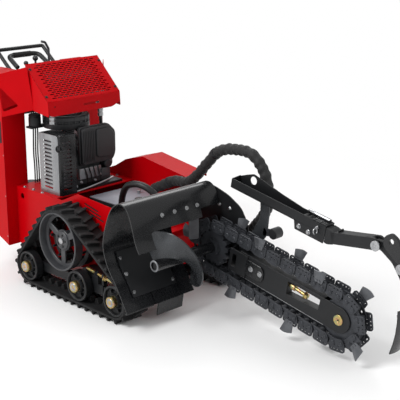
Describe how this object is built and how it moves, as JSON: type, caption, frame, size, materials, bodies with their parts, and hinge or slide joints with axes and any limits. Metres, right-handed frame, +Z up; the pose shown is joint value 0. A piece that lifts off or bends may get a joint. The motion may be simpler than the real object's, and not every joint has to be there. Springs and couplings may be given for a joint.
{
  "type": "trencher",
  "caption": "Walk-behind track trencher with rubber tracks, engine tower, auger shield, digging chain on a lifting boom, and a crumber arm over it.",
  "frame": {"origin": "middle of the bottom of the whole machine, on the floor plane", "axes": "+X along the machine towards the boom nose, +Y to the machine's left, +Z up"},
  "size_m": [2.6454, 0.908, 1.2308],
  "materials": {
    "painted_red": "gloss powder coat",
    "painted_black": "satin powder coat",
    "dark_steel": "blasted steel",
    "track_rubber": "moulded",
    "flap_rubber": "sheet",
    "zinc": "yellow zinc plate",
    "bright_steel": "ground and chromed",
    "black_plastic": "moulded",
    "aluminium": "cast",
    "grey_panel": "sheet",
    "sleeve_fabric": "woven nylon",
    "hose_rubber": "smooth"
  },
  "bodies": {
    "chassis": {"chassis_frame": "painted_red", "side_panel_right": "painted_red", "side_cover_left": "painted_red", "tower_column_right": "painted_red", "tower_column_left": "painted_red", "control_panel": "black_plastic", "cooler_gussets": "painted_red", "cooler_cover": "painted_red", "oil_cooler": "aluminium", "reference_bar": "painted_black", "fuel_tank": "black_plastic", "engine_block": "aluminium", "blower_housing": "black_plastic", "air_cleaner": "black_plastic", "muffler": "dark_steel", "muffler_guard": "grey_panel", "hydraulic_pump": "aluminium", "hydraulic_tank": "grey_panel", "hoses_and_cables": "hose_rubber", "track_frame_right": "painted_black", "track_frame_left": "painted_black", "track_belt_right": "track_rubber", "track_belt_left": "track_rubber", "track_tensioners": "zinc", "drive_motors": "dark_steel", "auger_shield": "painted_black", "shield_flap": "flap_rubber", "shield_skid": "painted_black", "chain_guard": "painted_black", "trencher_motor": "dark_steel", "machine_bolts": "zinc", "hose_sleeve": "sleeve_fabric"},
    "boom": {"boom_arm": "painted_black", "boom_bar": "painted_black", "chain_tensioner": "zinc", "digging_chain": "dark_steel", "cutter_teeth": "dark_steel", "crumber_channel": "painted_black"},
    "crumber_arm": {"crumber_tube": "painted_black"},
    "shoe": {"crumber_shoe": "painted_black"},
    "lock_pin": {"crumber_pin": "zinc"},
    "head_drive": {"head_shaft": "bright_steel", "head_sprocket": "dark_steel", "auger": "painted_black"},
    "nose_wheel": {"nose_roller": "dark_steel"},
    "sprocket_right": {"drive_sprocket_right": "painted_black"},
    "sprocket_left": {"drive_sprocket_left": "painted_black"},
    "lift_barrel": {"lift_cylinder": "painted_black"},
    "lift_piston": {"lift_rod": "bright_steel"},
    "traction_control": {"traction_handle": "painted_black"},
    "boom_control": {"boom_lever": "bright_steel"},
    "trencher_control": {"trencher_lever": "painted_black"},
    "throttle_control": {"throttle_lever": "painted_black"},
    "ignition_key": {"key_switch": "bright_steel"},
    "rear_wheel_right": {"wheel_rear_right": "painted_black"},
    "rear_wheel_left": {"wheel_rear_left": "painted_black"},
    "mid_wheel_right": {"wheel_mid_right": "painted_black"},
    "mid_wheel_left": {"wheel_mid_left": "painted_black"},
    "front_wheel_right": {"wheel_front_right": "painted_black"},
    "front_wheel_left": {"wheel_front_left": "painted_black"}
  },
  "joints": [
    {"name": "sprocket_right_spin", "type": "hinge", "parent": "chassis", "child": "sprocket_right", "pos_m": [-0.45368, -0.3505, 0.31402], "axis": [0, 1, 0], "continuous": true},
    {"name": "sprocket_left_spin", "type": "hinge", "parent": "chassis", "child": "sprocket_left", "pos_m": [-0.45368, 0.3665, 0.31402], "axis": [0, 1, 0], "continuous": true},
    {"name": "rear_wheel_right_spin", "type": "hinge", "parent": "chassis", "child": "rear_wheel_right", "pos_m": [-0.72568, -0.3505, 0.11303], "axis": [0, 1, 0], "continuous": true},
    {"name": "rear_wheel_left_spin", "type": "hinge", "parent": "chassis", "child": "rear_wheel_left", "pos_m": [-0.72568, 0.3665, 0.11303], "axis": [0, 1, 0], "continuous": true},
    {"name": "mid_wheel_right_spin", "type": "hinge", "parent": "chassis", "child": "mid_wheel_right", "pos_m": [-0.31168, -0.3505, 0.11303], "axis": [0, 1, 0], "continuous": true},
    {"name": "mid_wheel_left_spin", "type": "hinge", "parent": "chassis", "child": "mid_wheel_left", "pos_m": [-0.31168, 0.3665, 0.11303], "axis": [0, 1, 0], "continuous": true},
    {"name": "front_wheel_right_spin", "type": "hinge", "parent": "chassis", "child": "front_wheel_right", "pos_m": [-0.02368, -0.3505, 0.11303], "axis": [0, 1, 0], "continuous": true},
    {"name": "front_wheel_left_spin", "type": "hinge", "parent": "chassis", "child": "front_wheel_left", "pos_m": [-0.02368, 0.3665, 0.11303], "axis": [0, 1, 0], "continuous": true},
    {"name": "head_drive_spin", "type": "hinge", "parent": "chassis", "child": "head_drive", "pos_m": [0.19332, 0.068, 0.33303], "axis": [0, 1, 0], "continuous": true},
    {"name": "boom_lift", "type": "hinge", "parent": "chassis", "child": "boom", "pos_m": [0.19332, 0.068, 0.33303], "axis": [0, 1, 0], "range_deg": [-25, 50], "deforming": ["hose_sleeve"]},
    {"name": "nose_wheel_spin", "type": "hinge", "parent": "boom", "child": "nose_wheel", "pos_m": [0.97744, 0.068, 0.18486], "axis": [0, 1, 0], "continuous": true},
    {"name": "crumber_slide", "type": "slide", "parent": "boom", "child": "crumber_arm", "axis": [0.9826, 0, -0.1857], "range_m": [0, 0.06]},
    {"name": "lock_pin_pull", "type": "slide", "parent": "boom", "child": "lock_pin", "axis": [0, -1, 0], "range_m": [0, 0.07]},
    {"name": "shoe_swing", "type": "hinge", "parent": "crumber_arm", "child": "shoe", "pos_m": [1.1578, 0.068, 0.57923], "axis": [0, 1, 0], "range_deg": [-35, 8]},
    {"name": "lift_barrel_tilt", "type": "hinge", "parent": "chassis", "child": "lift_barrel", "pos_m": [-0.16168, 0.184, 0.39203], "axis": [0, 1, 0], "range_deg": [-4, 2]},
    {"name": "lift_rod_slide", "type": "slide", "parent": "lift_barrel", "child": "lift_piston", "axis": [0.9728, 0, 0.2317], "range_m": [-0.06, 0.12]},
    {"name": "traction_swing", "type": "hinge", "parent": "chassis", "child": "traction_control", "pos_m": [-1.19168, 0.008, 1.08203], "axis": [0, 1, 0], "range_deg": [-12, 12]},
    {"name": "boom_lever_tilt", "type": "hinge", "parent": "chassis", "child": "boom_control", "pos_m": [-1.11168, 0.06, 1.06902], "axis": [0, 1, 0], "range_deg": [-15, 15]},
    {"name": "trencher_lever_tilt", "type": "hinge", "parent": "chassis", "child": "trencher_control", "pos_m": [-1.11168, -0.032, 1.06902], "axis": [0, 1, 0], "range_deg": [-18, 18]},
    {"name": "throttle_tilt", "type": "hinge", "parent": "chassis", "child": "throttle_control", "pos_m": [-1.11168, -0.087, 1.06902], "axis": [0, 1, 0], "range_deg": [-20, 20]},
    {"name": "key_turn", "type": "hinge", "parent": "chassis", "child": "ignition_key", "pos_m": [-1.07168, -0.142, 1.06002], "axis": [0, 0, 1], "range_deg": [0, 90]}
  ],
  "couplings": [
    {"joint": "rear_wheel_right_spin", "follows": "sprocket_right_spin", "ratio": 1.9125},
    {"joint": "rear_wheel_left_spin", "follows": "sprocket_left_spin", "ratio": 1.9125},
    {"joint": "mid_wheel_right_spin", "follows": "sprocket_right_spin", "ratio": 1.9125},
    {"joint": "mid_wheel_left_spin", "follows": "sprocket_left_spin", "ratio": 1.9125},
    {"joint": "front_wheel_right_spin", "follows": "sprocket_right_spin", "ratio": 1.9125},
    {"joint": "front_wheel_left_spin", "follows": "sprocket_left_spin", "ratio": 1.9125},
    {"joint": "nose_wheel_spin", "follows": "head_drive_spin", "ratio": 1},
    {"joint": "lift_rod_slide", "follows": "boom_lift", "m_per_rad": 0.13522},
    {"joint": "lift_barrel_tilt", "follows": "boom_lift", "ratio": 0.04}
  ]
}
